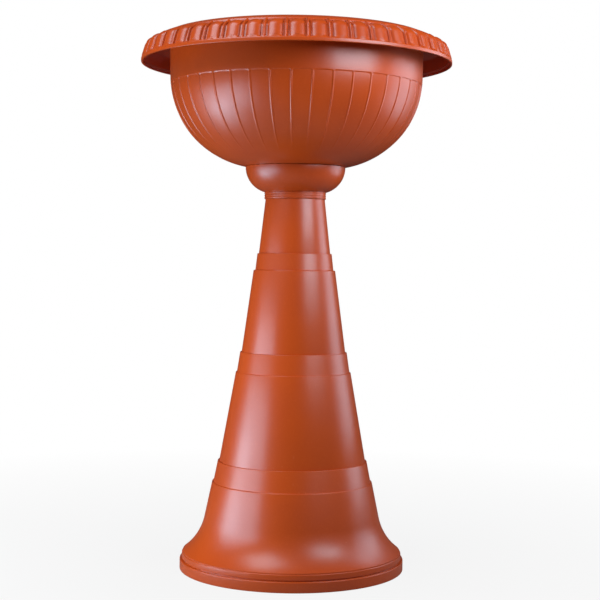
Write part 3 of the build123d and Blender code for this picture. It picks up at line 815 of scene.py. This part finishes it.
class PLANTER_OT_bowl(Operator):
    """Builds the bowl up to its rim, with the panels and ribs on its side and the drains in its floor"""

    bl_idname = "planter.bowl"
    bl_label = "Bowl"

    def execute(self, context):
        sizes = context.scene.planter_bowl
        centre = (sizes.floor_radius, bowl_base + sizes.side_round)
        inner_top, outer_top = wall_radii(sizes, bowl_join)
        ridge_angle = degrees(asin((centre[1] - rim_top + sizes.ridge_drop) / sizes.side_round))
        outline = Outline(0.0, bowl_base).line((sizes.floor_radius * 0.6, bowl_base), (sizes.floor_radius, bowl_base))
        outline.arc(centre, 90 - ridge_angle - 3, 54)
        outline.arc(centre, 3, 12)
        band_arc = sizes.side_round + sizes.band_rise
        outline.line(on_arc(centre, band_arc, 0.15 - ridge_angle))
        outline.arc(centre, ridge_angle - 0.15, 3)
        outline.line((outer_top, bowl_join), (inner_top, bowl_join))
        outline.line((centre[0] + sizes.side_round - sizes.wall, centre[1]))
        outline.arc(centre, -90, 36)
        outline.line((sizes.floor_radius * 0.6, bowl_base + sizes.wall), (0.0, bowl_base + sizes.wall))
        stops = (0.0, 0.031, 0.061, 0.088, 0.125, 0.19, 0.39, 0.7, 1.0)
        mesh = outline.sector(sizes.ribs, 2 * (len(stops) - 1))
        space_columns(mesh, sizes.ribs, front + radians(-2), stops)
        self.raise_ribs(mesh, sizes, centre, ridge_angle)
        close_round(mesh, sizes.ribs)
        piece = add_piece(mesh, "bowl_shell", "bowl", ["planter_bowl"], moulded_plastic())
        over, under = bowl_base + sizes.wall, bowl_base
        drain = sizes.drain_radius
        cutter = Outline(0.0, under - 1 * mm).line(
            (drain, under - 1 * mm), (drain, over - 0.6 * mm), (drain + 0.6 * mm, over), (drain + 0.6 * mm, over + 1 * mm),
            (0.0, over + 1 * mm)
        ).turned(48)
        bmesh.ops.translate(cutter, verts=cutter.verts, vec=(22 * mm, 0, 0))
        copies_round(cutter, cutter.verts[:] + cutter.edges[:] + cutter.faces[:], 6)
        middle = Outline(0.0, under - 1 * mm).line(
            (4.3 * mm, under - 1 * mm), (4.3 * mm, over + 1 * mm), (0.0, over + 1 * mm)
        ).turned(48)
        join(cutter, middle)
        drill(piece, cutter)
        return {"FINISHED"}

    def raise_ribs(self, mesh, sizes, centre, ridge_angle):
        """Raises the ribs and the panels' round corners to the band's level, fading out towards the floor."""
        pitch = tau / sizes.ribs
        fade = 66.0
        for point in mesh.verts:
            reach = hypot(point.co.x, point.co.y)
            from_centre = hypot(reach - centre[0], point.co.z - centre[1])
            if reach < centre[0] or abs(from_centre - sizes.side_round) > 0.1 * mm:
                continue
            angle = degrees(atan2(centre[1] - point.co.z, reach - centre[0]))
            if not ridge_angle - 0.01 < angle < fade:
                continue
            turn = ((atan2(point.co.y, point.co.x) - front - radians(-2)) / pitch) % 1.0
            across = (turn - 0.5) * pitch * reach
            down = radians(angle - ridge_angle) * sizes.side_round
            half_width = (pitch * reach - sizes.rib_width) / 2
            depth = inside_panel(
                across, down - sizes.side_round, half_width, sizes.side_round, sizes.panel_round
            )
            rise = sizes.band_rise * (1 - ease(depth / sizes.panel_edge))
            rise *= ease((fade - angle) / (fade - ridge_angle - 22))
            outward = cos(radians(angle)) / reach
            point.co += rise * Vector((point.co.x * outward, point.co.y * outward, -sin(radians(angle))))


class PLANTER_OT_rim(Operator):
    """Builds the hollow rim with its crowned pads, the ribs between them and the flared lip"""

    bl_idname = "planter.rim"
    bl_label = "Rim"

    def execute(self, context):
        sizes = context.scene.planter_rim
        inner_top, outer_top = wall_radii(context.scene.planter_bowl, bowl_join)
        mouth = (wall_radii(context.scene.planter_bowl, rim_top)[0], rim_top)
        crest = (mouth[0] + 6.7 * mm, rim_top)
        border = (crest[0] + 11.2 * mm, crest[1] - 4.4 * mm)
        channel = (border[0] + 0.8 * mm, border[1] - 1.3 * mm)
        corner = (channel[0] + 10.6 * mm, channel[1] - 6.3 * mm)
        side = (corner[0] + 4.2 * mm, corner[1] - 13.8 * mm)
        lip = (side[0] + 2.4 * mm, side[1] - 1.9 * mm)
        edge = (lip[0], lip[1] - 3.8 * mm)
        under = beside([mouth, crest, border, corner, side, lip, edge], sizes.wall)
        root = wall_radii(context.scene.planter_bowl, rim_top - sizes.wall)[1]
        outline = Outline(*channel).line((*corner, 5.8 * mm), (*side, 1.5 * mm), lip)
        outline.round_corners().divide(0.95 * mm)
        reach = outline.measure()
        outline.corners.append((outline.tip, 1.2 * mm))
        outline.line(
            (*edge, 0.7 * mm), (*under[6], 0.7 * mm), (*under[5], 0.5 * mm), (*under[4], 1.0 * mm),
            (*under[3], 4.0 * mm), (*under[2], 3.0 * mm), (*under[1], 2.0 * mm), (root, rim_top - sizes.wall, 3.0 * mm),
            (outer_top, bowl_join), (inner_top, bowl_join), (*mouth, mouth_round), (*crest, 6.0 * mm),
            (*border, 0.5 * mm),
        )
        outline.close()
        stops = (0.0, 0.045, 0.084, 0.108, 0.15, 0.21, 0.262, 0.3, 0.345, 0.4, 0.53, 0.75, 1.0)
        mesh = outline.sector(sizes.pads, 2 * (len(stops) - 1))
        start = front + radians(0.25) + pi / sizes.pads
        space_columns(mesh, sizes.pads, start, stops)
        self.raise_pads(mesh, sizes, start, reach)
        close_round(mesh, sizes.pads)
        add_piece(mesh, "rim_shell", "bowl", ["planter_bowl"], moulded_plastic(), 34.0)
        return {"FINISHED"}

    def raise_pads(self, mesh, sizes, start, reach):
        """Raises the pads and the ribs between them out of the channel."""
        along = mesh.verts.layers.float["along"]
        pitch = tau / sizes.pads
        half_width, half_rib = sizes.pad_width / 2, sizes.rib_width / 2
        half_length = (reach - sizes.end_gap + sizes.pad_round) / 2  # the lower corners lie past the channel's end
        middle = sizes.end_gap + half_length
        mesh.normal_update()
        moves = []
        for point in mesh.verts:
            down = point[along]
            if not 0.0 < down < reach - 0.1 * mm:
                continue
            radius = hypot(point.co.x, point.co.y)
            turn = ((atan2(point.co.y, point.co.x) - start) / pitch) % 1.0
            from_rib = min(turn, 1 - turn) * pitch * radius
            across = (turn - 0.5) * pitch * radius
            depth = inside_panel(across, down - middle, half_width, half_length, sizes.pad_round)
            rise = -sizes.groove_depth
            if depth > 0:
                crown = (1 - (across / half_width) ** 2) * ease((down - sizes.end_gap) / sizes.shoulder)
                rise += sizes.pad_step * ease(depth / sizes.pad_edge) + sizes.pad_crown * crown
            if from_rib < half_rib:
                rise += (sizes.rib_rise - rise) * sqrt(1 - (from_rib / half_rib) ** 2)
            rise *= ease(down / sizes.end_gap) * ease((reach - down) / sizes.lip_blend)
            outward = Vector((point.co.x, point.co.y, 0.0)).normalized()
            direction = Vector((*(point.normal.dot(outward) * outward).xy, point.normal.z)).normalized()
            moves.append((point, rise * direction))
        for point, move in moves:
            point.co += move


# ---- Fasteners
class PLANTER_OT_fasteners(Operator):
    """Gives the bolt, nut, washers and screws their finishes"""

    bl_idname = "planter.fasteners"
    bl_label = "Fasteners"

    def execute(self, context):
        finish = context.scene.planter_finishes
        zinc = plated_steel("zinc plate", tuple(finish.zinc), 0.32)
        screw = plated_steel("screw steel", tuple(finish.screw), 0.38)
        given = {
            "clamp_bolt": zinc, "wing_nut": zinc, "head_washer": zinc, "neck_washer": zinc,
            "base_screws": screw, "sealing_washer": seal_rubber(),
        }
        for name, material in given.items():
            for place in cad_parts[name].material_slots:
                place.material = material
        return {"FINISHED"}


# ---- Studio
class PLANTER_OT_studio(Operator):
    """Sets up the pale floor, the softboxes and the camera"""

    bl_idname = "planter.studio"
    bl_label = "Studio"

    def execute(self, context):
        studio = context.scene.planter_studio
        self.lay_floor(studio)
        self.light_world(context, studio)
        white = (1.0, 1.0, 1.0)
        self.hang_softbox("left softbox", studio.left_power, studio.cool, (0.6, 0.34), (-0.62, -0.26, 0.22), 0.3)
        self.hang_softbox("low softbox", studio.low_power, studio.cool, (0.3, 0.5), (-0.54, -0.08, 0.03), 0.5)
        self.hang_softbox("right softbox", studio.right_power, studio.cool, (0.5, 0.65), (0.82, 0.23, 0.5), 0.4)
        self.hang_softbox("front softbox", studio.front_power, white, (0.5, 0.4), (0.58, -0.52, 0.75), 0.85)
        self.hang_softbox("top softbox", studio.top_power, white, (0.6, 0.6), (-0.45, -0.42, 1.15), 0.6)
        camera = bpy.data.cameras.new("camera")
        camera.lens = studio.lens
        camera.shift_y = -0.06175
        camera.clip_start = 0.05
        camera.clip_end = 50
        holder = bpy.data.objects.new("camera", camera)
        holder.location = (0.0064, -1.5506, 0.3506)
        holder.rotation_euler = (radians(90), radians(-0.65), 0.0)
        context.scene.collection.objects.link(holder)
        context.scene.camera = holder
        context.scene.view_settings.view_transform = "Standard"
        return {"FINISHED"}

    def lay_floor(self, studio):
        floor = bmesh.new()
        bmesh.ops.create_grid(floor, x_segments=2, y_segments=2, size=30.0)
        data = bpy.data.meshes.new("floor")
        floor.to_mesh(data)
        floor.free()
        ground = bpy.data.objects.new("floor", data)
        bpy.context.scene.collection.objects.link(ground)
        material, tree, surface, vector = blank_material("floor")
        surface.inputs["Roughness"].default_value = 0.9
        surface.inputs["Specular IOR Level"].default_value = 0.0
        surface.inputs["Base Color"].default_value = (*studio.floor, 1.0)
        paper = node(tree, "ShaderNodeEmission", {"Color": (1.0, 1.0, 1.0, 1.0), "Strength": 1.0})
        path = node(tree, "ShaderNodeLightPath")
        away = node(tree, "ShaderNodeVectorMath", {}, {0: vector}, operation="LENGTH")
        paler = node(tree, "ShaderNodeMapRange", {1: 0.15, 2: 1.0, 3: 0.88, 4: 1.0}, {0: away.outputs["Value"]})
        seen = node(
            tree, "ShaderNodeMath", {}, {0: path.outputs["Is Camera Ray"], 1: paler.outputs[0]},
            operation="MULTIPLY",
        )
        both = node(
            tree, "ShaderNodeMixShader", {}, {0: seen.outputs[0], 1: surface.outputs[0], 2: paper.outputs[0]}
        )
        tree.links.new(both.outputs[0], tree.nodes["Material Output"].inputs["Surface"])
        data.materials.append(material)

    def light_world(self, context, studio):
        world = bpy.data.worlds.new("studio")
        context.scene.world = world
        world.use_nodes = True
        tree = world.node_tree
        light = tree.nodes["Background"]
        light.inputs["Color"].default_value = (1.0, 1.0, 1.0, 1.0)
        path = node(tree, "ShaderNodeLightPath")
        shown = node(
            tree, "ShaderNodeMapRange", {1: 0.0, 2: 1.0, 3: studio.ambient, 4: 1.0}, {0: path.outputs["Is Camera Ray"]}
        )
        tree.links.new(shown.outputs[0], light.inputs["Strength"])

    def hang_softbox(self, name, watts, tint, size, place, aim):
        """Softbox at a place, facing the planter's axis at a height."""
        lamp = bpy.data.lights.new(name, "AREA")
        lamp.shape = "RECTANGLE"
        lamp.size, lamp.size_y = size
        lamp.energy, lamp.color = watts, tint
        holder = bpy.data.objects.new(name, lamp)
        holder.location = place
        holder.rotation_euler = (Vector(place) - Vector((0, 0, aim))).to_track_quat("Z", "Y").to_euler()
        bpy.context.scene.collection.objects.link(holder)


class PLANTER_PT_panel(Panel):
    """Lists the planter's pieces and settings"""

    bl_idname = "PLANTER_PT_panel"
    bl_label = "Pedestal planter"
    bl_space_type = "VIEW_3D"
    bl_region_type = "UI"
    bl_category = "Planter"

    def draw(self, context):
        for operator in operators:
            self.layout.operator(operator.bl_idname)
        for key, kind in settings.items():
            box = self.layout.box()
            box.label(text=kind.__doc__)
            for name in kind.__annotations__:
                box.prop(getattr(context.scene, key), name)


settings = {
    "planter_pedestal": PedestalSizes,
    "planter_neck": NeckSizes,
    "planter_bowl": BowlSizes,
    "planter_rim": RimSizes,
    "planter_finishes": Finishes,
    "planter_studio": Studio,
}
operators = (
    PLANTER_OT_base_plate,
    PLANTER_OT_bell_foot,
    PLANTER_OT_cone_sections,
    PLANTER_OT_neck_cup,
    PLANTER_OT_bowl,
    PLANTER_OT_rim,
    PLANTER_OT_fasteners,
    PLANTER_OT_studio,
)


def register():
    for kind in (*settings.values(), *operators, PLANTER_PT_panel):
        bpy.utils.register_class(kind)
    for key, kind in settings.items():
        setattr(bpy.types.Scene, key, PointerProperty(type=kind))


def unregister():
    for key in settings:
        delattr(bpy.types.Scene, key)
    for kind in reversed((*settings.values(), *operators, PLANTER_PT_panel)):
        bpy.utils.unregister_class(kind)


def main():
    register()
    bpy.ops.planter.base_plate()
    bpy.ops.planter.bell_foot()
    bpy.ops.planter.cone_sections()
    bpy.ops.planter.neck_cup()
    bpy.ops.planter.bowl()
    bpy.ops.planter.rim()
    bpy.ops.planter.fasteners()
    bpy.ops.planter.studio()


if __name__ == "__main__":
    main()
